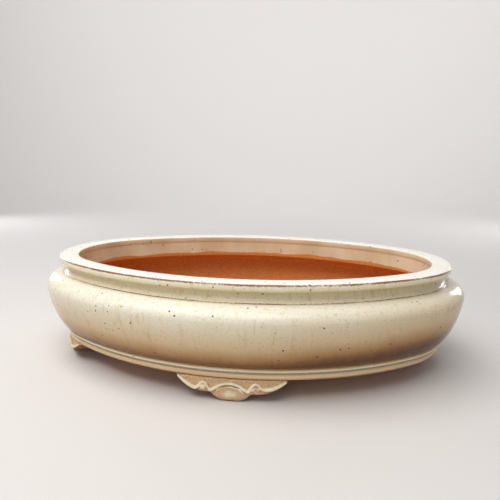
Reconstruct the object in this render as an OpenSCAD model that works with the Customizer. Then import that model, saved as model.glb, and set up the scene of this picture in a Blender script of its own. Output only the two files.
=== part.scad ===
// Oval glazed stoneware bonsai pot, built from the clay pieces that a potter joins:
// floor slab, moulded belly wall, neck band, flat rim lip, two-bead base band and four cloud feet.
//
// Every wall follows one oval, drawn with four arcs on a 3-4-5 triangle. The centres of the two end
// arcs lie 3 units from the middle, those of the two side arcs lie 4 units from it, and the radii
// differ by 5 units, so the arcs meet tangent to each other at every offset. A wall's section is drawn
// in (offset, height): offset 0 is the outer edge of the lip, and it grows outwards.

/* [Oval] */
// Half the length of the lip, along X
lip_half_l = 195; // [185:1:205]
// Unit of the 3-4-5 triangle; the lip is 4 units narrower than it is long
oval_unit = 34; // [31:0.5:36]

/* [Heights] */
// Underside of the base band, which is the height of the feet
foot_h = 20.5; // [18:0.5:24]
// Top of the base band, where the belly starts
band_top = 31.5; // [30:0.5:34]
// Height of the belly's widest line
belly_z = 74.5; // [70:0.5:78]
// Crisp line where the shoulder meets the neck
shoulder_z = 86; // [84:0.5:88]
// Underside of the lip
lip_z = 96; // [95:0.5:97]
// Top of the lip
total_h = 103; // [102:0.5:106]

/* [Sections] */
// How far the belly stands out past the lip
belly_out = 14; // [10:1:18]
// Width of the flat lip
lip_w = 18; // [15:1:20]
// Thickness of the belly wall
wall_t = 9; // [7:0.5:11]
// Roundness of the lower belly: 1 is straight, 2 is a full ellipse
belly_power = 1.55; // [1.3:0.05:2]

/* [Holes] */
// Diameter of the two drain holes
drain_d = 24; // [15:1:30]
// Distance between the drain holes, along X
drain_pitch = 160; // [120:5:200]
// Diameter of the four tie-wire holes
wire_d = 5; // [4:0.5:7]

/* [Feet] */
// Depth of a foot from its carved face to its back
foot_t = 18; // [14:1:22]
// Radius of the round lobe that stands on the shelf
lobe_r = 23; // [18:1:28]
// Radius of the lower edge of a foot's wings
wing_r = 36; // [30:1:40]
// How far the two end feet sit round the oval from its long axis, in degrees
end_foot_turn = 20; // [0:1:20]

/* [Hidden] */
$fn = 120;

// The oval
end_x = 3 * oval_unit;
side_y = 4 * oval_unit;
end_r = lip_half_l - end_x;
side_r = end_r + 5 * oval_unit;
cut_reach = 130;

// Offsets of the joints between the pieces
neck_in = -17;
shoulder_out = -2.8;
band_out_top = -1;
band_out_bottom = -2.8;
band_in = -10;
belly_foot = -2.4;
wall_foot_in = belly_foot - wall_t;

// Floor slab
recess_in = -34;
recess_h = 2;
wire_x = 52;
wire_y = 42;

// Belly
ceiling_t = 7;
inner_drop = 4;
curve_steps = 12;

// Neck and lip
neck_cove_w = 4.8;
neck_cove_h = 7.5;
neck_step = 0.8;
neck_ledge = shoulder_out - 0.4;
lip_edge_z = total_h - 1.5;
lip_face_power = 2.6;
crown_power = 3;
lip_under_h = 2;

// Base band: a small upper bead, a shallow groove and a broad lower bead
band_h = band_top - foot_h;
upper_bead_w = 2.4;
upper_bead_r = 0.17 * band_h;
lower_bead_w = 2.6;
lower_bead_r = 0.23 * band_h;
lower_bead_z = foot_h + 0.24 * band_h;
lower_bead_undercut = 1.9;
groove_w = 0.9;
groove_r = 0.11 * band_h;
groove_z = foot_h + 0.56 * band_h;
groove_out = -3.1;
bead_steps = 8;

// Feet
foot_face = -5;
foot_bulge = 1.8;
foot_edge_in = 1.5;
foot_face_power = 3;
lobe_z = lobe_r - 0.4;
wing_x = 20;
wing_drop = 7.5;
foot_reach = 60;

// Points of a quarter of a super-ellipse round (c_o, c_z), from the angle a0 to the angle a1
function curve_pts(c_o, c_z, r_o, r_z, a0, a1, power, steps) = [
    for (i = [0:steps])
        let (a = a0 + (a1 - a0) * i / steps, c = cos(a), s = sin(a))
        [c_o + r_o * sign(c) * pow(abs(c), 2 / power), c_z + r_z * sign(s) * pow(abs(s), 2 / power)]
];

// The flat regions that belong to one end arc and to one side arc, split along the triangles' long sides
module end_region() {
    polygon([[0, 0], [3, -4] * cut_reach, [3, 4] * cut_reach]);
}

module side_region() {
    polygon([[-end_x, side_y], [end_x, side_y], [3, 4] * cut_reach, [-3, 4] * cut_reach]);
}

// Full ring of a section, cut back to the region given as the second child
module ring_part(radius) {
    intersection() {
        rotate_extrude() translate([radius, 0]) children(0);
        linear_extrude(total_h) children(1);
    }
}

// Carries a section in (offset, height) round the whole oval
module sweep_oval() {
    for (turn = [0, 180]) rotate([0, 0, turn]) {
        translate([end_x, 0, 0]) ring_part(end_r) {
            children();
            end_region();
        }
        translate([0, -side_y, 0]) ring_part(side_r) {
            children();
            side_region();
        }
    }
}

// Flat oval outline at an offset from the lip
module oval_2d(offset_out) {
    for (turn = [0, 180]) rotate(turn) {
        translate([end_x, 0]) intersection() {
            circle(r = end_r + offset_out);
            end_region();
        }
        translate([0, -side_y]) intersection() {
            circle(r = side_r + offset_out);
            side_region();
        }
    }
}

// Rolled slab with two drain holes, four tie-wire holes and a shallow recess underneath
module floor_slab() {
    color([0.62, 0.30, 0.14]) difference() {
        translate([0, 0, foot_h]) linear_extrude(band_top - foot_h) oval_2d(band_in);
        translate([0, 0, foot_h - 1]) linear_extrude(recess_h + 1) oval_2d(recess_in);
        for (x = [-drain_pitch / 2, drain_pitch / 2])
            translate([x, 0, 0]) cylinder(d = drain_d, h = total_h);
        for (x = [-wire_x, wire_x], y = [-wire_y, wire_y])
            translate([x, y, 0]) cylinder(d = wire_d, h = total_h, $fn = 32);
    }
}

// Pressed wall: outside curve up from the band to the shoulder, then the inside curve down again
module belly_wall() {
    inner_z = belly_z - inner_drop;
    inner_rise = shoulder_z - ceiling_t - inner_z;
    inner_out = belly_out - wall_t;
    outside_low = curve_pts(belly_foot, belly_z, belly_out - belly_foot, belly_z - band_top,
        -90, 0, belly_power, curve_steps);
    outside_high = curve_pts(shoulder_out, belly_z, belly_out - shoulder_out, shoulder_z - belly_z,
        0, 90, 2, curve_steps);
    inside_high = curve_pts(neck_in, inner_z, inner_out - neck_in, inner_rise, 90, 0, 2, curve_steps);
    inside_low = curve_pts(wall_foot_in, inner_z, inner_out - wall_foot_in, inner_z - band_top,
        0, -90, belly_power, curve_steps);
    color([0.86, 0.80, 0.66]) sweep_oval() polygon(concat(
        outside_low, [for (i = [1:curve_steps]) outside_high[i]],
        [[neck_in, shoulder_z]],
        inside_high, [for (i = [1:curve_steps]) inside_low[i]]
    ));
}

// Coil with a hollow cove outside, between the shoulder and the lip
module neck_band() {
    cove_z = shoulder_z + neck_step + neck_cove_h;
    cove = curve_pts(neck_ledge, cove_z, neck_cove_w, neck_cove_h, 270, 180, 2, curve_steps);
    color([0.80, 0.76, 0.60]) sweep_oval() polygon(concat(
        [[neck_in, shoulder_z], [neck_ledge, shoulder_z]],
        cove, [[neck_ledge - neck_cove_w, lip_z], [neck_in, lip_z]]
    ));
}

// Flat slab ring with a rounded outer face and a slightly crowned top
module rim_lip() {
    face = curve_pts(shoulder_out, lip_edge_z, -shoulder_out, lip_edge_z - lip_z,
        -90, 0, lip_face_power, curve_steps);
    crown = curve_pts(-lip_w / 2, lip_edge_z, lip_w / 2, total_h - lip_edge_z,
        0, 180, crown_power, 2 * curve_steps);
    color([0.93, 0.90, 0.80]) sweep_oval() polygon(concat(
        [[neck_in, lip_z]], face, [for (i = [1:2 * curve_steps]) crown[i]], [[-lip_w, lip_z + lip_under_h]]
    ));
}

// Strip with an upper and a lower bead and a groove between them
module base_band() {
    upper = curve_pts(band_out_top - upper_bead_w, band_top - upper_bead_r, upper_bead_w, upper_bead_r,
        90, -62, 2, bead_steps);
    groove = curve_pts(groove_out, groove_z, groove_w, groove_r, 100, 250, 2, bead_steps);
    lower = curve_pts(band_out_bottom - lower_bead_w, lower_bead_z, lower_bead_w, lower_bead_r,
        42, -66, 2, bead_steps);
    color([0.84, 0.72, 0.54]) sweep_oval() polygon(concat(
        [[band_in, foot_h], [band_in, band_top]],
        upper, groove, lower, [[band_out_bottom - lower_bead_undercut, foot_h]]
    ));
}

// Carved outline seen from the front: a round lobe between two wings
module foot_outline() {
    intersection() {
        translate([-foot_reach, 0]) square([2 * foot_reach, foot_h]);
        union() {
            translate([0, lobe_z]) circle(r = lobe_r);
            for (s = [-1, 1]) translate([s * wing_x, wing_r + wing_drop]) circle(r = wing_r);
        }
    }
}

module foot_section() {
    face = curve_pts(foot_face - foot_edge_in, foot_h / 2, foot_bulge + foot_edge_in, foot_h / 2,
        -90, 90, foot_face_power, curve_steps);
    polygon(concat(face, [[foot_face - foot_t, foot_h], [foot_face - foot_t, 0]]));
}

// The carved outline is pushed straight through a ring of the foot's section
module side_foot() {
    intersection() {
        translate([0, -side_y, 0]) rotate_extrude() translate([side_r, 0]) foot_section();
        translate([0, lip_half_l, 0]) rotate([90, 0, 0]) linear_extrude(lip_half_l) foot_outline();
    }
}

module end_foot() {
    translate([end_x, 0, 0]) rotate([0, 0, end_foot_turn]) intersection() {
        rotate_extrude() translate([end_r, 0]) foot_section();
        rotate([90, 0, 90]) linear_extrude(lip_half_l) foot_outline();
    }
}

module foot_back() {
    color([0.80, 0.62, 0.42]) side_foot();
}

module foot_front() {
    color([0.80, 0.62, 0.42]) rotate([0, 0, 180]) side_foot();
}

module foot_right() {
    color([0.80, 0.62, 0.42]) end_foot();
}

module foot_left() {
    color([0.80, 0.62, 0.42]) rotate([0, 0, 180]) end_foot();
}

floor_slab();
belly_wall();
neck_band();
rim_lip();
base_band();
foot_front();
foot_back();
foot_left();
foot_right();
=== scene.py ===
# %% [markdown]
# # An oval bonsai pot, cream glaze over terracotta
#
# The pot is made of nine clay pieces: a floor slab, a full belly wall, a hollow neck, a flat lip, a
# strip with two beads round the base, and four cloud feet. The imported model gives each piece's
# place and size. This lesson draws each piece again with soft edges, curved glaze and carving.
#
# We load the frame first, and read the sizes of the pieces from their boxes.

# %% Load the frame
import math

import bpy
from mathutils import Matrix, Vector


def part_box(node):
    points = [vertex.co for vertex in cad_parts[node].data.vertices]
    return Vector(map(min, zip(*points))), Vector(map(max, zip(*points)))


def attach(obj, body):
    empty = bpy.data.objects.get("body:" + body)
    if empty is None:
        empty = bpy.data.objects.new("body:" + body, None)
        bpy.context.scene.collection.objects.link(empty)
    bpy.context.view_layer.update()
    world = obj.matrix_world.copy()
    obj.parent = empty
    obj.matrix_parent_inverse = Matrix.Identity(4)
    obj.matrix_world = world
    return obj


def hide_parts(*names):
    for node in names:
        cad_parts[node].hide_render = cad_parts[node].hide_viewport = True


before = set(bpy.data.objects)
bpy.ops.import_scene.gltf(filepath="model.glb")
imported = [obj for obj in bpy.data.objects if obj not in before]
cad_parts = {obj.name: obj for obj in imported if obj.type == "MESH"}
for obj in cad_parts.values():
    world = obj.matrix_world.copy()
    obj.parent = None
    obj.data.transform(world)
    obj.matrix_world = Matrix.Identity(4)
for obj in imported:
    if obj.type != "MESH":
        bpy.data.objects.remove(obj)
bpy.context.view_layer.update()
MM = 0.001
print("nodes:", sorted(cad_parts))

# %% [markdown]
# ## The oval
#
# A potter lays out such an oval with four arcs on a 3-4-5 triangle: two small end arcs whose
# centres lie 3 units from the middle, and two large side arcs whose centres lie 4 units from it.
# The radii differ by 5 units, so the arcs run into each other without a corner, at every wall
# thickness. We get the unit back from the lip's length and width, and the heights from the boxes
# of the pieces. Places on a wall are given as an offset outwards from the lip's outer edge.

# %% Measure the oval and the heights
lip_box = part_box("rim_lip")
belly_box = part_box("belly_wall")
band_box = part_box("base_band")
HALF_LENGTH = lip_box[1][0]
HALF_WIDTH = lip_box[1][1]
UNIT = (HALF_LENGTH - HALF_WIDTH) / 2
END_X = 3 * UNIT
SIDE_Y = 4 * UNIT
END_R = HALF_LENGTH - END_X
SIDE_R = END_R + 5 * UNIT
CORNER = math.atan2(4, 3)

BAND_LOW = band_box[0][2]
BAND_TOP = band_box[1][2]
SHOULDER_Z = belly_box[1][2]
LIP_LOW = lip_box[0][2]
TOP_Z = lip_box[1][2]
BELLY_OUT = belly_box[1][0] - HALF_LENGTH
print("unit", round(UNIT / MM, 1), "end radius", round(END_R / MM, 1), "side radius", round(SIDE_R / MM, 1))


def oval_offset(x, y):
    """How far a point lies outside the lip's edge; inside it is negative."""
    past_end = abs(x) - END_X
    if past_end > 0 and abs(y) <= past_end * 4 / 3:
        return math.hypot(past_end, y) - END_R
    return math.hypot(x, abs(y) + SIDE_Y) - SIDE_R


# %% [markdown]
# ## The camera
#
# The camera stands a little to the right of the middle and looks down by about 17 degrees, as one
# looks at a pot on a shelf. It is placed with two angles and a distance, and its frame is shifted
# upwards, so that the pot sits low in it without tilting the view.

# %% Camera
AIM = Vector((0, 0, 0.050))
CAMERA_TURN = math.radians(7.07)
CAMERA_RISE = math.radians(16.68)
CAMERA_ROLL = math.radians(0.85)
CAMERA_DISTANCE = 0.4966
LENS = 33.8
SHIFT_UP = 0.1055

camera = bpy.data.objects.new("camera", bpy.data.cameras.new("camera"))
bpy.context.scene.collection.objects.link(camera)
bpy.context.scene.camera = camera
camera.data.lens = LENS
camera.data.sensor_width = 36
camera.data.shift_y = SHIFT_UP
camera.data.clip_start = 0.01
back = Vector((math.sin(CAMERA_TURN) * math.cos(CAMERA_RISE),
               -math.cos(CAMERA_TURN) * math.cos(CAMERA_RISE), math.sin(CAMERA_RISE)))
aim_turn = back.to_track_quat("Z", "Y").to_matrix().to_4x4()
camera.matrix_world = (Matrix.Translation(AIM + back * CAMERA_DISTANCE)
                       @ aim_turn @ Matrix.Rotation(CAMERA_ROLL, 4, "Z"))
print("camera at", [round(v, 3) for v in camera.matrix_world.translation])

# %% [markdown]
# ## Helpers for edit mode
#
# An operator acts on whatever is selected, so before each step we choose what it may touch. These
# helpers open one piece in edit mode, select its parts by place, and apply its modifiers.


# %% Helpers for edit mode
def deselect_all():
    bpy.ops.object.select_all(action="DESELECT")


def edit(piece):
    """Opens one object alone in edit mode."""
    if bpy.context.object and bpy.context.object.mode == "EDIT":
        bpy.ops.object.mode_set(mode="OBJECT")
    deselect_all()
    piece.select_set(True)
    bpy.context.view_layer.objects.active = piece
    bpy.ops.object.mode_set(mode="EDIT")


def pick(piece, test, mode="VERT"):
    """Selects, by place, the vertices, edges or faces whose centre passes the test."""
    bpy.ops.mesh.select_mode(type=mode)
    bpy.ops.mesh.select_all(action="DESELECT")
    bpy.ops.object.mode_set(mode="OBJECT")
    mesh = piece.data
    for part in {"VERT": mesh.vertices, "EDGE": mesh.edges, "FACE": mesh.polygons}[mode]:
        if mode == "VERT":
            part.select = test(part.co)
        else:
            middle = sum((mesh.vertices[i].co for i in part.vertices), Vector()) / len(part.vertices)
            part.select = test(middle)
    bpy.ops.object.mode_set(mode="EDIT")


def done():
    bpy.ops.object.mode_set(mode="OBJECT")


def finish_modifiers(piece):
    deselect_all()
    piece.select_set(True)
    bpy.context.view_layer.objects.active = piece
    for modifier in list(piece.modifiers):
        bpy.ops.object.modifier_apply(modifier=modifier.name)


print("helpers ready for edit mode")

# %% [markdown]
# ## The studio
#
# The floor and the backdrop are one pale sheet that curves up all round the pot, as in a studio, so
# there is no hard line behind the rim from any side. It is a cylinder without a lid, whose lower edge
# is rounded with a wide bevel. The flat middle is inset once, so that the smooth shading of the curve
# doesn't reach the floor under the pot.

# %% Studio sweep
SWEEP_R = 2.6
SWEEP_TALL = 3.0
SWEEP_CURVE = 1.2
FLAT_MARGIN = 0.15

deselect_all()
bpy.ops.mesh.primitive_cylinder_add(vertices=128, radius=SWEEP_R, depth=SWEEP_TALL,
                                    location=(0, 0, SWEEP_TALL / 2))
sweep = bpy.context.object
sweep.name = "studio_sweep"
bpy.ops.object.transform_apply(location=True, rotation=True, scale=True)
edit(sweep)
pick(sweep, lambda c: c.z > SWEEP_TALL - 10 * MM, "FACE")
bpy.ops.mesh.delete(type="FACE")
pick(sweep, lambda c: c.z < 10 * MM, "EDGE")
bpy.ops.mesh.bevel(offset=SWEEP_CURVE, segments=24)
pick(sweep, lambda c: c.z < 0.1 * MM, "FACE")
bpy.ops.mesh.inset(thickness=FLAT_MARGIN)
bpy.ops.mesh.select_all(action="SELECT")
bpy.ops.mesh.normals_make_consistent(inside=True)
done()
bpy.ops.object.shade_smooth()
print("sweep faces:", len(sweep.data.polygons))

# %% [markdown]
# ## The lights
#
# The main light is a wide soft panel overhead, a little to the left and in front, which gives the lip
# and the shoulder their broad white sheen and leaves the underside in shade. A weak panel low in front
# opens the shadows on the neck and the feet; it is left out of reflections, so the glaze doesn't
# mirror it. A third panel lights only the backdrop. Two narrow panels far behind, like two windows,
# make the small cool highlights at the two ends of the belly.


# %% Lights
def soft_panel(name, place, aim, size, watts, colour, mirrored=True):
    data = bpy.data.lights.new(name, "AREA")
    data.shape = "RECTANGLE"
    data.size, data.size_y = size
    data.energy = watts
    data.color = colour
    lamp = bpy.data.objects.new(name, data)
    bpy.context.scene.collection.objects.link(lamp)
    lamp.location = place
    lamp.rotation_euler = (Vector(place) - Vector(aim)).to_track_quat("Z", "Y").to_euler()
    lamp.visible_camera = False
    lamp.visible_glossy = mirrored
    return lamp


POT_MIDDLE = (0, 0, 0.06)
soft_panel("overhead", (-0.26, -0.34, 0.95), POT_MIDDLE, (1.2, 0.8), 11, (1.0, 0.985, 0.96))
soft_panel("front_fill", (-0.5, -1.5, 0.45), POT_MIDDLE, (1.2, 0.7), 2.4, (1.0, 0.97, 0.93), mirrored=False)
soft_panel("backdrop", (0.0, 1.3, 1.6), (0, 2.4, 0.5), (2.4, 0.4), 20, (0.99, 0.99, 1.0))
soft_panel("window_right", (0.95, 1.10, 0.40), POT_MIDDLE, (0.25, 0.45), 1.6, (0.93, 0.96, 1.0))
soft_panel("window_left", (-1.10, 0.90, 0.35), POT_MIDDLE, (0.25, 0.40), 1.6, (0.93, 0.96, 1.0))

world = bpy.data.worlds.new("studio_air")
bpy.context.scene.world = world
world.use_nodes = True
world.node_tree.nodes["Background"].inputs["Color"].default_value = (0.84, 0.84, 0.86, 1)
world.node_tree.nodes["Background"].inputs["Strength"].default_value = 0.30
bpy.context.scene.view_settings.view_transform = "Standard"

# %% [markdown]
# ## Drawing a wall
#
# Every wall of the pot is one section carried round the oval. By hand one would throw or press it;
# in Blender we draw the section with the extrude tool, point by point, and then spin it four
# times, each time round the next of the oval's four centres. Because the arcs are tangent, the end
# of one spin is the right start for the next. A lathe-like screw modifier can't do this, because
# it has only one centre.


# %% Points of a section
def arc(centre, radii, start, end, power=2.0, steps=12):
    """Points of a rounded quarter; power 2 is an ellipse, and more is squarer. Angles in degrees."""
    points = []
    for i in range(steps + 1):
        angle = math.radians(start + (end - start) * i / steps)
        c, s = math.cos(angle), math.sin(angle)
        points.append((centre[0] + radii[0] * math.copysign(abs(c) ** (2 / power), c),
                       centre[1] + radii[1] * math.copysign(abs(s) ** (2 / power), s)))
    return points


def tidy(points, apart=0.02 * MM):
    """Drops points that fall on the one before."""
    kept = [points[0]]
    for p in points[1:]:
        if math.dist(p, kept[-1]) > apart:
            kept.append(p)
    if math.dist(kept[0], kept[-1]) <= apart:
        kept.pop()
    return kept


sample = arc((0, 0), (1, 1), 0, 90, steps=2)
print("a quarter circle in 2 steps:", [(round(a, 2), round(b, 2)) for a, b in sample])

# %% [markdown]
# The section stands where the front side arc runs into the right end arc. It begins as a plane
# whose corners are merged into one vertex, and this vertex is extruded from point to point. The
# spins then go the long way round the oval, and the last ring is welded to the first.


# %% Drawing and spinning
END_STEPS = 56
SIDE_STEPS = 68
DOT = 2 * MM
WELD = 0.02 * MM


def at_corner(offset, height):
    """A section point, placed where the front side arc runs into the right end arc."""
    reach = END_R + offset
    return Vector((END_X + reach * math.cos(CORNER), -reach * math.sin(CORNER), height))


def draw_section(name, points, closed=True):
    """One vertex, extruded from point to point."""
    deselect_all()
    bpy.ops.mesh.primitive_plane_add(size=DOT, location=(0, 0, 0))
    piece = bpy.context.object
    piece.name = name
    edit(piece)
    bpy.ops.mesh.select_mode(type="VERT")
    bpy.ops.mesh.select_all(action="SELECT")
    bpy.ops.mesh.merge(type="CENTER")
    places = [at_corner(*p) for p in points]
    bpy.ops.transform.translate(value=places[0])
    for before, after in zip(places, places[1:]):
        bpy.ops.mesh.extrude_region_move(TRANSFORM_OT_translate={"value": after - before})
    if closed:
        bpy.ops.mesh.extrude_region_move(TRANSFORM_OT_translate={"value": places[0] - places[-1]})
    bpy.ops.mesh.select_all(action="SELECT")
    bpy.ops.mesh.remove_doubles(threshold=WELD / 4)
    return piece


def sweep_round_oval():
    """Spins the selected section round the four centres and welds the last ring to the first."""
    bpy.ops.mesh.select_all(action="SELECT")
    side_angle = math.pi - 2 * CORNER
    stops = [((END_X, 0, 0), 2 * CORNER, END_STEPS), ((0, -SIDE_Y, 0), side_angle, SIDE_STEPS),
             ((-END_X, 0, 0), 2 * CORNER, END_STEPS), ((0, SIDE_Y, 0), side_angle, SIDE_STEPS)]
    for centre, angle, steps in stops:
        bpy.ops.mesh.spin(steps=steps, angle=angle, center=centre, axis=(0, 0, -1))
    bpy.ops.mesh.select_all(action="SELECT")
    bpy.ops.mesh.remove_doubles(threshold=WELD)
    bpy.ops.mesh.normals_make_consistent(inside=False)
    done()


def ring_piece(name, node, points):
    piece = draw_section(name, tidy(points))
    sweep_round_oval()
    bpy.ops.object.shade_smooth_by_angle(angle=math.radians(50))
    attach(piece, "root")
    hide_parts(node)
    size = [round(v / MM, 1) for v in piece.dimensions]
    print(name, "size mm", size, "faces", len(piece.data.polygons))
    return piece


print("rings round the oval:", 2 * (END_STEPS + SIDE_STEPS))

# %% [markdown]
# ## The lip
#
# The lip is a flat ring as wide as a finger. Its outer face is rounded below and ends above in a
# clear edge, where the glaze runs thin, and the top is crowned a little so that water runs off.

# %% Lip
LIP_WIDE = 18 * MM
LIP_EDGE_Z = TOP_Z - 1.5 * MM
LIP_FOOT = -2.8 * MM
LIP_FACE_TOP = LIP_EDGE_Z - 0.4 * MM
LIP_UNDER = 2 * MM
NECK_IN = -17 * MM

lip_points = [(NECK_IN, LIP_LOW)]
lip_points += arc((LIP_FOOT, LIP_FACE_TOP), (-LIP_FOOT, LIP_FACE_TOP - LIP_LOW), -90, 0, power=2.6)
lip_points += arc((-0.5 * LIP_WIDE, LIP_EDGE_Z), (0.5 * LIP_WIDE, TOP_Z - LIP_EDGE_Z), 2, 178, 3, 36)
lip_points += [(-LIP_WIDE, LIP_LOW + LIP_UNDER)]
lip = ring_piece("lip", "rim_lip", lip_points)

# %% [markdown]
# ## The neck
#
# The neck is hollow: a cove that is deepest under the lip and sweeps out to a thin ledge above the
# shoulder. The ledge's corner is rounded, so with the rounded shoulder below it makes the fine
# groove that runs round the pot; its dark line is darkened further with painted shade in the glaze.

# %% Neck
LEDGE = LIP_FOOT - 0.4 * MM
LEDGE_Z = SHOULDER_Z + 0.8 * MM
LEDGE_ROUND = (0.5 * MM, 0.4 * MM)
COVE = (4.8 * MM, 7.5 * MM)

neck_points = [(NECK_IN, SHOULDER_Z), (LEDGE - LEDGE_ROUND[0], SHOULDER_Z)]
neck_points += arc((LEDGE - LEDGE_ROUND[0], SHOULDER_Z + LEDGE_ROUND[1]), LEDGE_ROUND, -90, 60, steps=6)
neck_points += arc((LEDGE, LEDGE_Z + COVE[1]), COVE, 262, 180, steps=14)
neck_points += [(LEDGE - COVE[0], LIP_LOW), (NECK_IN, LIP_LOW)]
neck = ring_piece("neck", "neck_band", neck_points)

# %% [markdown]
# ## The belly
#
# The wall swells out past the lip, turns over in a tight shoulder and falls in a long curve that is
# flatter than an ellipse, which is what gives the pot its weight. The inside follows the outside
# one wall thickness in, so there is a hollow under the shoulder.

# %% Belly
WALL = 9 * MM
BELLY_Z = 74.5 * MM
BELLY_FOOT = -2.4 * MM
BELLY_CURVE = 1.55
INNER_Z = BELLY_Z - 4 * MM
INNER_FOOT = BELLY_FOOT - WALL
INNER_OUT = BELLY_OUT - WALL
CEILING = SHOULDER_Z - 7 * MM
CEILING_ROUND = 1.5 * MM
CEILING_IN = NECK_IN + CEILING_ROUND
SHOULDER_LIP = LIP_FOOT + 0.2 * MM

outside_low = (BELLY_OUT - BELLY_FOOT, BELLY_Z - BAND_TOP)
outside_high = (BELLY_OUT - SHOULDER_LIP, SHOULDER_Z - BELLY_Z)
inside_high = (INNER_OUT - CEILING_IN, CEILING - INNER_Z)
inside_low = (INNER_OUT - INNER_FOOT, INNER_Z - BAND_TOP)

belly_points = arc((BELLY_FOOT, BELLY_Z), outside_low, -90, 0, BELLY_CURVE, 26)
belly_points += arc((SHOULDER_LIP, BELLY_Z), outside_high, 0, 88, steps=22)
belly_points += [(SHOULDER_LIP - 0.3 * MM, SHOULDER_Z - 0.5 * MM), (SHOULDER_LIP - 0.8 * MM, SHOULDER_Z)]
belly_points += [(NECK_IN, SHOULDER_Z)]
belly_points += arc((CEILING_IN, CEILING + CEILING_ROUND), (CEILING_ROUND, CEILING_ROUND), 180, 270, steps=5)
belly_points += arc((CEILING_IN, INNER_Z), inside_high, 90, 0, steps=14)
belly_points += arc((INNER_FOOT, INNER_Z), inside_low, 0, -90, BELLY_CURVE, 20)
belly = ring_piece("belly", "belly_wall", belly_points)

# %% [markdown]
# ## The base band
#
# A strip of clay is wrapped round the foot of the wall and run with a shaped tool, which leaves an
# upper bead, a groove and a lower bead.

# %% Base band
BAND_H = BAND_TOP - BAND_LOW
UPPER_BEAD = (2.4 * MM, 0.17 * BAND_H)
LOWER_BEAD = (2.6 * MM, 0.23 * BAND_H)
UPPER_OUT = -1.0 * MM
LOWER_OUT = -2.8 * MM
GROOVE = (0.9 * MM, 0.11 * BAND_H)
GROOVE_IN = -4.0 * MM
GROOVE_Z = BAND_LOW + 0.56 * BAND_H
LOWER_Z = BAND_LOW + 0.24 * BAND_H
LOWER_UNDERCUT = 1.9 * MM
BAND_IN = -10 * MM

band_points = [(BAND_IN, BAND_LOW), (BAND_IN, BAND_TOP)]
band_points += arc((UPPER_OUT - UPPER_BEAD[0], BAND_TOP - UPPER_BEAD[1]), UPPER_BEAD, 90, -62, steps=14)
band_points += arc((GROOVE_IN + GROOVE[0], GROOVE_Z), GROOVE, 100, 250, steps=8)
band_points += arc((LOWER_OUT - LOWER_BEAD[0], LOWER_Z), LOWER_BEAD, 42, -66, steps=14)
band_points += [(LOWER_OUT - LOWER_UNDERCUT, BAND_LOW)]
band = ring_piece("band", "base_band", band_points)

# %% [markdown]
# ## Floor slab
#
# The floor is a rolled slab inside the band, hollowed a little underneath so that only its rim could
# touch. Its edge is a section carried round the oval like the walls, and each open middle is then
# filled. The two drain holes and the four holes for tie wires are cut with cylinders, and a bevel
# softens every edge, as a wet sponge does.

# %% Slab
RECESS_IN = -34 * MM
RECESS_H = 2 * MM
SLAB_MIDDLE = -80 * MM

slab_points = [(SLAB_MIDDLE, BAND_LOW + RECESS_H), (RECESS_IN, BAND_LOW + RECESS_H), (RECESS_IN, BAND_LOW),
               (BAND_IN, BAND_LOW), (BAND_IN, BAND_TOP), (SLAB_MIDDLE, BAND_TOP)]
slab = draw_section("floor", slab_points, closed=False)
sweep_round_oval()
edit(slab)
bpy.ops.mesh.select_all(action="SELECT")
bpy.ops.mesh.fill_holes(sides=0)
bpy.ops.mesh.normals_make_consistent(inside=False)
done()
print("slab faces before drilling", len(slab.data.polygons))

# %% [markdown]
# The potter cuts the holes with a tube while the slab is firm. We subtract a cylinder for each hole,
# and soften the edges only after the holes are there, so that their rims are rounded as well.

# %% Holes and edges
DRAIN_R = 12 * MM
DRAIN_X = 80 * MM
WIRE_R = 2.5 * MM
WIRE_X = 52 * MM
WIRE_Y = 42 * MM


def drill(piece, radius, x, y):
    deselect_all()
    bpy.ops.mesh.primitive_cylinder_add(vertices=48, radius=radius, depth=0.1, location=(x, y, BAND_TOP))
    cutter = bpy.context.object
    cut = piece.modifiers.new("hole", "BOOLEAN")
    cut.operation = "DIFFERENCE"
    cut.object = cutter
    finish_modifiers(piece)
    bpy.data.objects.remove(cutter)


for side in (-1, 1):
    drill(slab, DRAIN_R, side * DRAIN_X, 0)
    for front in (-1, 1):
        drill(slab, WIRE_R, side * WIRE_X, front * WIRE_Y)

soften = slab.modifiers.new("sponged_edges", "BEVEL")
soften.width = 0.8 * MM
soften.segments = 3
soften.limit_method = "ANGLE"
soften.angle_limit = math.radians(50)
finish_modifiers(slab)
bpy.ops.object.shade_smooth_by_angle(angle=math.radians(35))
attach(slab, "root")
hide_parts("floor_slab")
print("floor faces", len(slab.data.polygons))

# %% [markdown]
# ## Cloud feet
#
# Each foot is pressed in a mould: a round lobe between two wings, with a raised line that follows
# the wings, curls up at their inner ends and arches over the lobe. We make one foot flat, as the
# mould is: the outline is drawn and extruded, and the raised work is laid on it as tapered curves
# and flattened balls. A voxel remesh then fuses them, and smoothing rounds the corners that glaze
# would fill. In the flat foot, X runs along the width and -Y points out of its face.

# %% Foot outline
FOOT_H = BAND_LOW
FOOT_DEEP = 18 * MM
FACE_OUT = -5 * MM
FACE_BULGE = 1.8 * MM
LOBE_R = 23 * MM
LOBE_Z = LOBE_R - 0.4 * MM
WING_R = 36 * MM
WING_X = 20 * MM
WING_Z = WING_R + 7.5 * MM


def outline_height(x):
    """Lower edge of the foot at a distance x from its middle line."""
    x = abs(x)
    wing = WING_Z - math.sqrt(max(WING_R ** 2 - (x - WING_X) ** 2, 0))
    lobe = LOBE_Z - math.sqrt(LOBE_R ** 2 - x * x) if x < LOBE_R else FOOT_H
    return max(min(wing, lobe), 0)


TIP_X = WING_X + math.sqrt(WING_R ** 2 - (WING_Z - FOOT_H) ** 2)
FOOT_POINTS = 72

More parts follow.
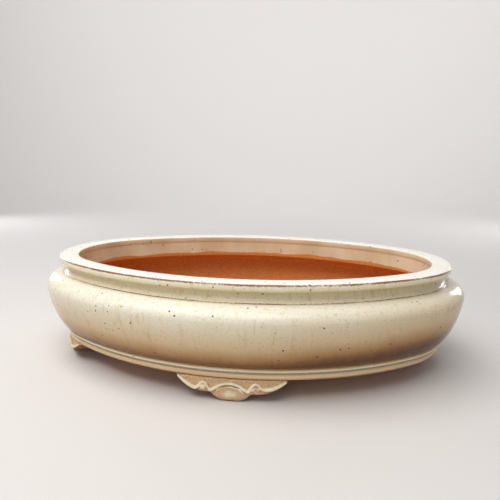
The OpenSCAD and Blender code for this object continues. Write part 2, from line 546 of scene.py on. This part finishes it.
deselect_all()
bpy.ops.mesh.primitive_plane_add(size=DOT, location=(-TIP_X, 0, FOOT_H))
foot = bpy.context.object
foot.name = "carved_foot_front"
bpy.ops.object.transform_apply(location=True, rotation=False, scale=False)
edit(foot)
bpy.ops.mesh.select_mode(type="VERT")
bpy.ops.mesh.select_all(action="SELECT")
bpy.ops.mesh.merge(type="CENTER")
here = Vector((-TIP_X, 0, FOOT_H))
for i in range(1, FOOT_POINTS + 1):
    x = -TIP_X + 2 * TIP_X * i / FOOT_POINTS
    there = Vector((x, 0, outline_height(x)))
    bpy.ops.mesh.extrude_region_move(TRANSFORM_OT_translate={"value": there - here})
    here = there
bpy.ops.mesh.select_all(action="SELECT")
bpy.ops.mesh.edge_face_add()
bpy.ops.mesh.extrude_region_move(TRANSFORM_OT_translate={"value": (0, FOOT_DEEP, 0)})
bpy.ops.mesh.select_all(action="SELECT")
bpy.ops.mesh.normals_make_consistent(inside=False)
done()
print("foot width mm", round(2 * TIP_X / MM, 1))

# %% [markdown]
# The raised line is a bezier curve through a few points, given as distance from the middle, height
# and thickness in millimetres. It runs from the left tip along the wing, round the first curl, down
# to the notch, over the lobe, down to the other notch, over the second curl and out to the right
# tip. The two sides differ slightly, because the mould was carved by hand.


# %% Tools for the raised work
def raised_line(name, points, proud):
    """A round bar through (x, z, thickness) points, with its middle this far out of the face."""
    deselect_all()
    bpy.ops.curve.primitive_bezier_curve_add(location=(0, 0, 0))
    line = bpy.context.object
    line.name = name
    spline = line.data.splines[0]
    spline.bezier_points.add(len(points) - 2)
    for place, (x, z, thick) in zip(spline.bezier_points, points):
        place.handle_left_type = place.handle_right_type = "AUTO"
        place.co = (x * MM, -proud * MM, z * MM)
        place.radius = thick / 2
    line.data.dimensions = "3D"
    line.data.resolution_u = 10
    line.data.bevel_depth = 1 * MM
    line.data.bevel_resolution = 5
    line.data.use_fill_caps = True
    bpy.ops.object.convert(target="MESH")
    return bpy.context.object


def raised_ball(name, x, z, size):
    """A flattened ball on the face; size is its half width, how far it stands out, and half height."""
    deselect_all()
    bpy.ops.mesh.primitive_uv_sphere_add(segments=40, ring_count=24, radius=1 * MM,
                                         location=(x * MM, 0, z * MM))
    ball = bpy.context.object
    ball.name = name
    ball.scale = size
    bpy.ops.object.transform_apply(location=True, rotation=True, scale=True)
    return ball


print("tools for raised lines and balls are ready")

# %% [markdown]
# The points of each line are listed first, and then the lines and balls are laid on the face. The
# number behind each line is how far its middle stands out. The two sides of the lower rim are the
# same line, mirrored.

# %% Raised work
left_wing = [(-46.0, 19.8, 1.8), (-41, 16.4, 3.2), (-35, 12.8, 4.2), (-29.8, 11.0, 3.8), (-27.0, 13.2, 2.8),
             (-24.8, 16.2, 2.5), (-21.4, 16.0, 2.3), (-19.4, 12.8, 2.3), (-17.2, 9.8, 2.8)]
arch = [(-17.2, 9.8, 3.4), (-13.2, 12.2, 3.6), (-8.6, 15.2, 2.8), (-1, 16.8, 2.2), (6, 15.6, 2.5),
        (11.2, 12.4, 3.0), (15.6, 9.8, 3.0)]
right_wing = [(15.6, 9.8, 2.6), (16.8, 13.4, 2.4), (19.6, 16.8, 2.4), (23.4, 16.6, 2.4), (26.6, 13.4, 3.0),
              (31, 12.8, 3.9), (37, 14.4, 4.0), (42, 17.0, 3.0), (46.2, 19.6, 1.8)]
inner_curl = [(18.4, 10.6, 1.5), (19.6, 13.2, 1.5), (21.8, 14.2, 1.5), (23.8, 11.8, 1.5)]
lobe_rim = [(-12.6, 8.6, 1.1), (-8.4, 12.0, 1.3), (-1, 13.8, 1.3), (6.6, 12.2, 1.3), (11.2, 8.6, 1.1)]
lower_rim = [(44, 17.6, 1.0), (36, 11.9, 1.5), (28, 9.2, 1.5), (20, 8.6, 1.4)]

raised = [
    raised_line("left_wing", left_wing, 1.0),
    raised_line("arch", arch, 1.0),
    raised_line("right_wing", right_wing, 1.0),
    raised_line("inner_curl", inner_curl, 0.9),
    raised_line("lobe_rim", lobe_rim, 1.0),
    raised_line("lower_rim_left", [(-x, z, thick) for x, z, thick in lower_rim], 0.1),
    raised_line("lower_rim_right", lower_rim, 0.1),
    raised_ball("left_bulb", -23.6, 12.2, (3.0, 2.2, 3.2)),
    raised_ball("right_bulb", 21.4, 10.8, (3.0, 1.1, 2.6)),
    raised_ball("lobe", -0.5, 7.6, (14.0, 1.35, 6.4)),
]
print("raised parts:", [part.name for part in raised])

# %% [markdown]
# Along the top of the foot runs a narrow flat ledge, where the clay is pressed against the band.

# %% Ledge
LEDGE_SIZE = 1.8 * MM
LEDGE_SET_IN = 0.2 * MM

deselect_all()
bpy.ops.mesh.primitive_cube_add(size=1, location=(0, LEDGE_SET_IN, FOOT_H - LEDGE_SIZE / 2))
ledge = bpy.context.object
ledge.name = "ledge"
ledge.scale = (2 * (TIP_X - 5 * MM), LEDGE_SIZE, LEDGE_SIZE)
bpy.ops.object.transform_apply(location=True, rotation=True, scale=True)
raised.append(ledge)
print("ledge size mm", [round(v / MM, 1) for v in ledge.dimensions])

# %% [markdown]
# A voxel remesh turns the overlapping parts into one closed skin, as wet clay joins. Smoothing then
# rubs the corners down. Each point of the mesh remembers how far it stands out of the face, for the
# glaze to read later.

# %% Fuse the flat foot
for part in raised:
    part.select_set(True)
foot.select_set(True)
bpy.context.view_layer.objects.active = foot
bpy.ops.object.join()
melt = foot.modifiers.new("fuse", "REMESH")
melt.mode = "VOXEL"
melt.voxel_size = 0.5 * MM
melt.use_smooth_shade = True
rub = foot.modifiers.new("rub", "SMOOTH")
rub.factor = 0.5
rub.iterations = 2
finish_modifiers(foot)
relief = foot.data.attributes.new("relief", "FLOAT", "POINT")
for vertex, value in zip(foot.data.vertices, relief.data):
    value.value = -vertex.co.y / MM
print("flat foot faces", len(foot.data.polygons))

# %% [markdown]
# The flat foot is pushed onto the pot: its face swells out a little at half height, and each of its
# points slides along one straight direction until it lies on the arc of the wall. The two side feet
# lie on the large arcs and the two end feet on the small ones, so these are bent more. The end feet
# don't sit on the long middle line: both are set a little further round their arcs, the left one
# towards the front and the right one towards the back.


# %% Lay the foot on the oval
END_FOOT_TURN = math.radians(20)


def lay_foot(piece, name, node, centre, radius, turn):
    """Slides the flat foot onto an arc of this radius, and turns it round the arc's centre."""
    piece.name = name
    turned = Matrix.Rotation(turn, 3, "Z")
    for vertex in piece.data.vertices:
        x, deep, z = vertex.co
        z = min(max(z, 0), FOOT_H)
        swell = max(1 - abs(2 * z / FOOT_H - 1) ** 3, 0) ** (1 / 3)
        out = FACE_OUT - deep + FACE_BULGE * swell * (1 - min(max(deep / FOOT_DEEP, 0), 1))
        vertex.co = Vector(centre) + turned @ Vector((x, -math.sqrt((radius + out) ** 2 - x * x), z))
    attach(piece, "root")
    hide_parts(node)
    print(name, "size mm", [round(v / MM, 1) for v in piece.dimensions])


feet = [foot]
for i in range(3):
    copy = foot.copy()
    copy.data = foot.data.copy()
    bpy.context.scene.collection.objects.link(copy)
    feet.append(copy)

lay_foot(feet[0], "carved_foot_front", "foot_front", (0, SIDE_Y, 0), SIDE_R, 0)
lay_foot(feet[1], "carved_foot_right", "foot_right", (END_X, 0, 0), END_R, math.radians(90) + END_FOOT_TURN)
lay_foot(feet[2], "carved_foot_back", "foot_back", (0, -SIDE_Y, 0), SIDE_R, math.radians(180))
lay_foot(feet[3], "carved_foot_left", "foot_left", (-END_X, 0, 0), END_R, math.radians(-90) + END_FOOT_TURN)

# %% [markdown]
# ## Marks for the finishes
#
# The glaze looks different where it is thin: on sharp edges it breaks to brown, and inside the pot
# it stops at a line below which the clay is bare. The same brown is painted as shade in two creases,
# above the shoulder and at the foot of the belly. We store such places on the meshes as numbers on
# each vertex, worked out from the offset and the height, and the materials read them by name.


# %% Paint attributes
def paint(piece, name, rule):
    layer = piece.data.attributes.new(name, "FLOAT", "POINT")
    for vertex, value in zip(piece.data.vertices, layer.data):
        value.value = rule(oval_offset(vertex.co.x, vertex.co.y), vertex.co.z)


def near(value, centre, width):
    """1 at the centre, falling smoothly to 0 a few widths away."""
    return math.exp(-((value - centre) / width) ** 2)


print("marks are painted per vertex;", len(belly.data.vertices), "of them on the belly")

# %% [markdown]
# On the neck the inner skin is simply what lies behind the middle of the wall. On the belly the
# inner and the outer skin run close together, so a point counts as inside when the nearest point of
# the drawn section is on the inner curve.

# %% Inside, edges and groove
NECK_SKIN = -14 * MM
LIP_SKIN = -17.2 * MM
EDGE_BROWN_Z = LIP_EDGE_Z + 0.5 * MM
belly_rows = tidy(belly_points)
inner_skin_from = belly_rows.index((NECK_IN, SHOULDER_Z))


def inside_belly(offset, z):
    """1 where the nearest point of the drawn section lies on the inner skin."""
    nearest = min(range(len(belly_rows)), key=lambda i: math.dist(belly_rows[i], (offset, z)))
    return 1.0 if nearest >= inner_skin_from else 0.0


paint(lip, "inside", lambda o, z: 1.0 if o < LIP_SKIN and z < TOP_Z - 1.0 * MM else 0.0)
paint(neck, "inside", lambda o, z: 1.0 if o < NECK_SKIN else 0.0)
paint(lip, "thin_edge_and_crease_shade", lambda o, z: near(math.hypot(o + 0.25 * MM, z - EDGE_BROWN_Z), 0, 1.2 * MM))
# Painted shade: this mark browns the neck's ledge corner, in the crease above the shoulder.
paint(neck, "thin_edge_and_crease_shade", lambda o, z: near(z, SHOULDER_Z + 0.2 * MM, 0.7 * MM) if o > -9 * MM else 0.0)
paint(band, "groove", lambda o, z: near(z, GROOVE_Z, 1.5 * MM))
paint(belly, "inside", inside_belly)
# Painted shade: this mark browns the belly's foot, in the crease where it meets the band.
paint(belly, "thin_edge_and_crease_shade", lambda o, z: near(z, BAND_TOP, 1.2 * MM))
inner_points = sum(value.value for value in belly.data.attributes["inside"].data)
print("points on the belly's inner skin:", round(inner_points))

# %% [markdown]
# ## Finishes
#
# All the finishes are mixed from the same few effects, so those effects are node groups. The
# helper class below only shortens the code: every call adds one node and gives back its output.


# %% Node helper
class Net:
    """Adds nodes to a tree; numbers, colours and other nodes' outputs may all be plugged in."""

    def __init__(self, tree):
        self.tree = tree

    def add(self, kind, plugs, output=0, **settings):
        made = self.tree.nodes.new("ShaderNode" + kind)
        for name, value in settings.items():
            setattr(made, name, value)
        for socket, value in plugs.items():
            self.put(made.inputs[socket], value)
        return made.outputs[output]

    def put(self, socket, value):
        if isinstance(value, bpy.types.NodeSocket):
            self.tree.links.new(value, socket)
        else:
            socket.default_value = value

    def place(self):
        return self.add("TexCoord", {}, "Object")

    def height(self):
        return self.add("SeparateXYZ", {0: self.place()}, 2)

    def mark(self, name):
        return self.add("Attribute", {}, "Fac", attribute_name=name)

    def math(self, operation, a, b=0.0):
        return self.add("Math", {0: a, 1: b}, operation=operation)

    def stretch(self, vector, scale):
        return self.add("Mapping", {"Vector": vector, "Scale": scale})

    def noise(self, vector, scale, detail=3.0, roughness=0.55):
        plugs = {"Vector": vector, "Scale": scale, "Detail": detail, "Roughness": roughness}
        return self.add("TexNoise", plugs)

    def fade(self, value, low, high, to_low=0.0, to_high=1.0):
        """Runs smoothly from to_low at low to to_high at high."""
        return self.add("MapRange", {0: value, 1: low, 2: high, 3: to_low, 4: to_high},
                        interpolation_type="SMOOTHSTEP")

    def swing(self, value, size):
        """Turns a noise from 0 to 1 into one that swings about 0 by this size in all."""
        return self.math("MULTIPLY", self.math("SUBTRACT", value, 0.5), size)

    def mix(self, amount, a, b, blend="MIX"):
        return self.add("Mix", {0: amount, 6: a, 7: b}, 2, data_type="RGBA", blend_type=blend)

    def ramp(self, value, stops):
        """Colours along a value; stops are (position, colour)."""
        made = self.tree.nodes.new("ShaderNodeValToRGB")
        bands = made.color_ramp
        while len(bands.elements) < len(stops):
            bands.elements.new(0.5)
        for element, (position, colour) in zip(bands.elements, stops):
            element.position = position
            element.color = colour
        self.put(made.inputs[0], value)
        return made.outputs[0]


def tint(red, green, blue):
    """A colour from the usual 0 to 255 values."""
    def linear(v):
        v /= 255
        return v / 12.92 if v <= 0.04045 else ((v + 0.055) / 1.055) ** 2.4
    return (linear(red), linear(green), linear(blue), 1.0)


print("cream in linear light:", [round(v, 3) for v in tint(246, 243, 230)])


# %% [markdown]
# A node group is a small tree with its own plugs. This helper makes an empty one, with numbers as
# inputs and outputs, so the next cells need to hold only the effect itself.


# %% Group helper
def new_group(name, inputs, outputs):
    tree = bpy.data.node_groups.new(name, "ShaderNodeTree")
    for socket, value in inputs.items():
        made = tree.interface.new_socket(socket, in_out="INPUT", socket_type="NodeSocketFloat")
        made.default_value = value
    for socket in outputs:
        tree.interface.new_socket(socket, in_out="OUTPUT", socket_type="NodeSocketFloat")
    given = tree.nodes.new("NodeGroupInput").outputs
    result = tree.nodes.new("NodeGroupOutput").inputs
    print("group", name, "takes", list(inputs), "and gives", outputs)
    return tree, Net(tree), given, result


# %% [markdown]
# The first group is the run of the glaze. A melted glaze creeps down the wall, so its streaks are
# noise stretched along the height, over slower clouds, with a fine stipple of crystals and scattered
# freckles, where specks of iron in the clay have melted through.

# %% Group: glaze run
glaze_run, net, given, result = new_group("glaze_run", {"Streak Scale": 220.0, "Cloud Scale": 22.0},
                                          ["Streaks", "Clouds", "Stipple", "Freckles"])
place = net.place()
net.put(result["Streaks"], net.noise(net.stretch(place, (1, 1, 0.10)), given["Streak Scale"], 4.0, 0.6))
net.put(result["Clouds"], net.noise(net.stretch(place, (1, 1, 0.6)), given["Cloud Scale"], 3.0))
net.put(result["Stipple"], net.noise(place, 1500.0, 2.0, 0.7))
net.put(result["Freckles"], net.noise(place, 620.0, 2.0, 0.6))

# %% [markdown]
# The second group is the pinholes: gas leaves the clay and bursts through the glaze, which leaves
# round dark dots, single or in small clusters. They are the cores of scattered cells, kept only
# where a slow noise is high.

# %% Group: pinholes
pinhole_plugs = {"Scale": 150.0, "Size": 0.15, "Spread": 0.505}
pinholes, net, given, result = new_group("pinholes", pinhole_plugs, ["Hole"])
place = net.place()
core = net.add("TexVoronoi", {"Vector": place, "Scale": given["Scale"]}, "Distance")
dot = net.math("SUBTRACT", 1.0, net.fade(core, net.math("MULTIPLY", given["Size"], 0.55), given["Size"]))
cluster_edge = net.math("ADD", given["Spread"], 0.04)
cluster = net.fade(net.noise(place, 38.0, 2.0), given["Spread"], cluster_edge)
net.put(result["Hole"], net.math("MULTIPLY", dot, cluster))

# %% [markdown]
# The third group is the grain of the bare clay: fine grog, and the faint level marks that the
# potter's rib leaves when the wall is scraped.

# %% Group: clay grain
clay_grain, net, given, result = new_group("clay_grain", {"Scale": 900.0}, ["Grain", "Scrapes"])
place = net.place()
net.put(result["Grain"], net.noise(place, given["Scale"], 4.0, 0.65))
net.put(result["Scrapes"], net.noise(net.stretch(place, (0.06, 0.06, 1)), 520.0, 3.0, 0.6))


# %% [markdown]
# ## Helpers for a material
#
# Each material is a Principled shader whose colour, roughness and bump are plugged in by `finish`.
# The bump's height is in metres, so that it has the same depth on every piece.


# %% Material helpers
def new_material(name):
    material = bpy.data.materials.new(name)
    material.use_nodes = True
    net = Net(material.node_tree)
    return material, net, material.node_tree.nodes["Principled BSDF"]


def use_group(net, group, **values):
    made = net.tree.nodes.new("ShaderNodeGroup")
    made.node_tree = group
    for name, value in values.items():
        net.put(made.inputs[name.replace("_", " ")], value)
    return made.outputs


def finish(net, shader, colour, roughness, height, depth):
    """Plugs a colour, a roughness and a height in metres into the shader."""
    net.put(shader.inputs["Base Color"], colour)
    net.put(shader.inputs["Roughness"], roughness)
    bump = net.add("Bump", {"Strength": 1.0, "Distance": depth, "Height": height})
    net.put(shader.inputs["Normal"], bump)


def wear(piece, material):
    piece.data.materials.clear()
    piece.data.materials.append(material)
    print(piece.name, "wears", material.name)


# %% [markdown]
# ## Cream glaze
#
# The wall's glaze is thick and nearly white on the shoulder, where it pools. It gets thinner and
# browner further down, where the clay shines through, and the brown at the foot is partly painted
# reflection of a brown table. Inside it is tan, and it stops at a wavy line above bare terracotta.
# The right end of the pot is painted darker, as painted shade and reflection.
# Small functions make the outer skin, the inner skin, the browned edges with the painted crease shade
# and the bare clay, and the last one puts them together. The colours down the height are given for
# each piece.

# %% Colours and lines of the cream glaze
# Painted light: this clay is made paler than the feet's clay, to stand in for light inside the shaded pot.
CLAY_PAINTED_PALER = tint(230, 164, 98)
CLAY_DARK = tint(198, 122, 64)
HOLE = tint(88, 52, 26)
# Brown of the lip's thin glaze edge, also used as painted shade in the creases above the shoulder and at the
# belly's foot.
EDGE_AND_CREASE_BROWN = tint(150, 104, 62)
STIPPLE_BROWN = tint(150, 120, 84)
FRECKLE_BROWN = tint(142, 104, 62)
STREAK_TAN = tint(232, 218, 190)
INNER_TAN = tint(214, 196, 164)
GLAZE_LINE = 83.5 * MM
GLAZE_LINE_WAVE = 9 * MM
GLAZE_LINE_SOFT = 0.4 * MM
GLAZE_ROUGH = 0.13
GLAZE_SPECULAR = 0.30
CLAY_ROUGH = 0.85
GLAZE_DEPTH = 0.25 * MM
print("the glaze stops", round(GLAZE_LINE / MM, 1), "mm above the shelf, on the inside")


# %% [markdown]
# The outer skin is a ramp of colours up the wall. The level at which each colour is read sags with
# the streaks and clouds, and drops towards the right end, which paints shade and reflection there.
# Stipple, streaks and freckles come on top.


# %% Outer skin
def outer_skin(net, run, heights, sag_by, right_end_painted_shade):
    """Colour down the height; heights is a list of (height in mm, colour), from low to high."""
    sag = net.math("ADD", net.swing(run["Streaks"], sag_by), net.swing(run["Clouds"], 1.5 * sag_by))
    along = net.add("SeparateXYZ", {0: net.place()}, 0)
    # Painted shade and reflection: the colour level drops towards the right end, so that end is browner.
    right_end_shade_drop = net.fade(along, -0.05, 0.22, 0.0, -right_end_painted_shade)
    level = net.math("ADD", net.math("ADD", net.height(), right_end_shade_drop), sag)
    stops = [(h * MM / TOP_Z, colour) for h, colour in heights]
    colour = net.ramp(net.math("MULTIPLY", level, 1 / TOP_Z), stops)
    colour = net.mix(net.fade(run["Stipple"], 0.35, 0.75, 0.0, 0.16), colour, STIPPLE_BROWN)
    colour = net.mix(net.fade(run["Streaks"], 0.52, 0.72, 0.0, 0.60), colour, STREAK_TAN, "MULTIPLY")
    return net.mix(net.fade(run["Freckles"], 0.60, 0.70, 0.0, 0.34), colour, FRECKLE_BROWN)


print("the outer skin sags, streaks and freckles")

# %% [markdown]
# On the inside the glaze is one tan colour with lighter clouds. Where it is thin, on the lip's edge,
# it breaks to brown in a ragged line, and the same ragged brown is painted as shade in the crease
# above the shoulder and at the foot of the belly. The bare clay is a mix of two terracottas with level
# scrape marks; the paler one is lightened as painted light, for the shaded inside of the pot.


# %% Inner skin, broken edges and bare clay
def inner_skin(net, run):
    return net.mix(net.fade(run["Clouds"], 0.35, 0.65), INNER_TAN, STREAK_TAN)


# Browns the lip's thin edge, and paints shade into the creases above the shoulder and at the belly's foot.
def brown_edges_and_crease_shade(net, run, glaze):
    clouds = net.fade(run["Clouds"], 0.3, 0.6, 0.45, 1.0)
    ragged = net.math("ADD", clouds, net.fade(run["Freckles"], 0.4, 0.65, 0.0, 0.4))
    browned = net.fade(net.math("MULTIPLY", net.mark("thin_edge_and_crease_shade"), ragged), 0.35, 0.95)
    return net.mix(browned, glaze, EDGE_AND_CREASE_BROWN)


def terracotta(net, grain):
    # The paler end of this mix is painted light for the shaded inside.
    return net.mix(net.fade(grain["Grain"], 0.35, 0.7), CLAY_DARK, CLAY_PAINTED_PALER)


def bare_inside(net, run):
    """1 on the inner skin below the wavy line where the glaze stops."""
    wavy = net.math("ADD", net.height(), net.swing(run["Clouds"], GLAZE_LINE_WAVE))
    below = net.fade(wavy, GLAZE_LINE - GLAZE_LINE_SOFT, GLAZE_LINE + GLAZE_LINE_SOFT, 1.0, 0.0)
    return net.math("MULTIPLY", net.mark("inside"), below)


print("inner skin, broken edges and bare clay are ready")


# %% [markdown]
# Now the parts are put together: glaze outside and on the upper inside, bare clay below the line.
# Glaze is glossy and clay is matt, so the same mask drives the roughness. The bump has streaks, slow
# waves, pits at the pinholes, and grain on the clay.


# %% Cream glaze over clay
def cream_glaze(name, heights, sag_by, right_end_painted_shade=0.0):
    material, net, shader = new_material(name)
    shader.inputs["Specular IOR Level"].default_value = GLAZE_SPECULAR
    run = use_group(net, glaze_run)
    hole = use_group(net, pinholes)["Hole"]
    grain = use_group(net, clay_grain)
    outer = outer_skin(net, run, heights, sag_by, right_end_painted_shade)
    glaze = net.mix(net.mark("inside"), outer, inner_skin(net, run))
    glaze = net.mix(hole, brown_edges_and_crease_shade(net, run, glaze), HOLE)
    scrapes = net.fade(grain["Scrapes"], 0.45, 0.75, 0.0, 0.35)
    clay = net.mix(scrapes, terracotta(net, grain), CLAY_DARK)
    bare = bare_inside(net, run)
    rough = net.fade(bare, 0.0, 1.0, GLAZE_ROUGH, CLAY_ROUGH)
    height = net.math("SUBTRACT", net.math("MULTIPLY", run["Streaks"], 0.55), hole)
    height = net.math("ADD", height, net.math("MULTIPLY", run["Clouds"], 2.6))
    height = net.math("ADD", height, net.math("MULTIPLY", net.math("MULTIPLY", grain["Grain"], bare), 1.2))
    finish(net, shader, net.mix(bare, glaze, clay), rough, height, GLAZE_DEPTH)
    return material


print("cream glaze is mixed for each wall from its colours down the height")

# %% [markdown]
# The belly runs from dark brown at its foot to near white on the shoulder; its brown foot is partly
# thinner glaze and partly painted reflection of a brown table. The neck is painted darkest up under
# the lip, as painted shade, and lightest on its ledge, as painted light. The lip is palest on top,
# partly its thick glaze and partly painted light from above.

# %% Glaze the belly, the neck and the lip
# The brown at the belly's foot is partly painted reflection of a brown table, and the right end is painted
# darker as shade and reflection.
belly_glaze = cream_glaze("cream_glaze_on_belly", [
    (31, tint(92, 54, 24)), (36, tint(132, 86, 44)), (43, tint(184, 146, 98)), (52, tint(216, 190, 152)),
    (64, tint(228, 213, 183)), (76, tint(238, 233, 214)), (90, tint(246, 243, 230))],
    sag_by=5 * MM, right_end_painted_shade=14 * MM)
# Painted shade up under the lip, at 96 mm, and painted light on the ledge, at 88 mm.
neck_glaze = cream_glaze("cream_glaze_on_neck", [
    (84, tint(240, 226, 190)), (88, tint(252, 246, 222)), (92, tint(240, 230, 196)),
    (96, tint(208, 194, 152))], sag_by=2 * MM)
# Palest on top, at 104 mm, partly the thick glaze and partly painted light from above.
lip_glaze = cream_glaze("cream_glaze_on_lip", [
    (95, tint(206, 184, 140)), (98, tint(240, 228, 194)), (101, tint(250, 246, 230)),
    (104, tint(255, 253, 246))], sag_by=2 * MM)
wear(belly, belly_glaze)
wear(neck, neck_glaze)
wear(lip, lip_glaze)

# %% [markdown]
# ## Thin glaze on the band
#
# On the beads the glaze is thin and stretched, cream on the crests, and stippled in the groove, where
# it is painted darker grey as painted shade, with a browner edge where it meets the unglazed underside.

# %% Thin glaze
thin_glaze, net, shader = new_material("thin_glaze")
run = use_group(net, glaze_run)
share = net.math("MULTIPLY", net.math("SUBTRACT", net.height(), BAND_LOW), 1 / BAND_H)
level = net.math("ADD", share, net.swing(run["Clouds"], 0.2))
crest = net.ramp(level, [(0.0, tint(146, 100, 58)), (0.16, tint(210, 172, 122)), (0.36, tint(242, 218, 178)),
                         (0.78, tint(248, 236, 204)), (1.0, tint(220, 192, 146))])
# Painted shade: the groove is painted a darker grey than the crests.
groove = net.mix(net.fade(run["Stipple"], 0.4, 0.62), tint(150, 128, 112), tint(196, 176, 150))
colour = net.mix(net.mark("groove"), crest, groove)
colour = net.mix(net.fade(run["Stipple"], 0.45, 0.75, 0.0, 0.26), colour, tint(150, 112, 72))
hole = use_group(net, pinholes, Scale=210.0, Size=0.16, Spread=0.56)["Hole"]
colour = net.mix(hole, colour, HOLE)
pitted = net.math("SUBTRACT", net.math("MULTIPLY", run["Stipple"], 0.4), hole)
finish(net, shader, colour, 0.24, pitted, GLAZE_DEPTH)
wear(band, thin_glaze)

# %% [markdown]
# ## Foot glaze
#
# On the carving the raised lines are cream, and the ground between them is tan and stippled. The
# lower edges and the backs of the feet were wiped clean, so they show brown clay. The `relief` mark,
# which is the height above the face in millimetres, tells the lines from the ground and the back.

# %% Foot glaze
foot_glaze, net, shader = new_material("foot_glaze")
run = use_group(net, glaze_run, Cloud_Scale=90.0)
grain = use_group(net, clay_grain)
relief_mark = net.mark("relief")
proud = net.math("ADD", relief_mark, net.swing(run["Clouds"], 0.8))
ground = net.mix(net.fade(run["Stipple"], 0.38, 0.62), tint(184, 144, 100), tint(236, 206, 166))
raised_colour = net.mix(net.fade(run["Clouds"], 0.3, 0.7), tint(240, 224, 188), tint(252, 244, 222))
colour = net.mix(net.fade(proud, 1.0, 1.6), ground, raised_colour)
normal_z = net.add("SeparateXYZ", {0: net.add("NewGeometry", {}, "Normal")}, 2)
under = net.fade(normal_z, -0.75, -0.35, 1.0, 0.0)
back_mark = net.fade(relief_mark, -5.0, -2.5, 1.0, 0.0)
wiped = net.math("MAXIMUM", under, back_mark)
clay = net.mix(net.fade(grain["Grain"], 0.35, 0.7), tint(120, 72, 40), tint(176, 118, 74))
rough = net.fade(wiped, 0.0, 1.0, 0.32, CLAY_ROUGH)
finish(net, shader, net.mix(wiped, colour, clay), rough, run["Stipple"], 0.3 * MM)
for piece in feet:
    wear(piece, foot_glaze)

# %% [markdown]
# ## Bare clay
#
# The floor slab isn't glazed at all. It has the terracotta of the wall's inside, with paler clouds
# where the kiln was a little cooler.

# %% Bare clay
bare_clay, net, shader = new_material("bare_clay")
grain = use_group(net, clay_grain)
run = use_group(net, glaze_run)
paler = net.fade(run["Clouds"], 0.35, 0.7, 0.0, 0.4)
# The terracotta here carries the same painted light as the wall's inside.
clay = net.mix(paler, terracotta(net, grain), tint(206, 138, 96))
finish(net, shader, clay, CLAY_ROUGH, grain["Grain"], 0.3 * MM)
wear(slab, bare_clay)

# %% [markdown]
# ## Studio paper
#
# The sheet under the pot is plain matt paper, only just off white, with a fine fibre.

# %% Studio paper
paper, net, shader = new_material("studio_paper")
fibre = net.noise(net.place(), 900.0, 4.0)
colour = net.mix(net.fade(fibre, 0.3, 0.7), tint(222, 219, 217), tint(226, 223, 221))
finish(net, shader, colour, 0.9, fibre, 0.05 * MM)
sweep.data.materials.append(paper)
print("the sweep is covered with", paper.name)

# %% Finish
print("finished")
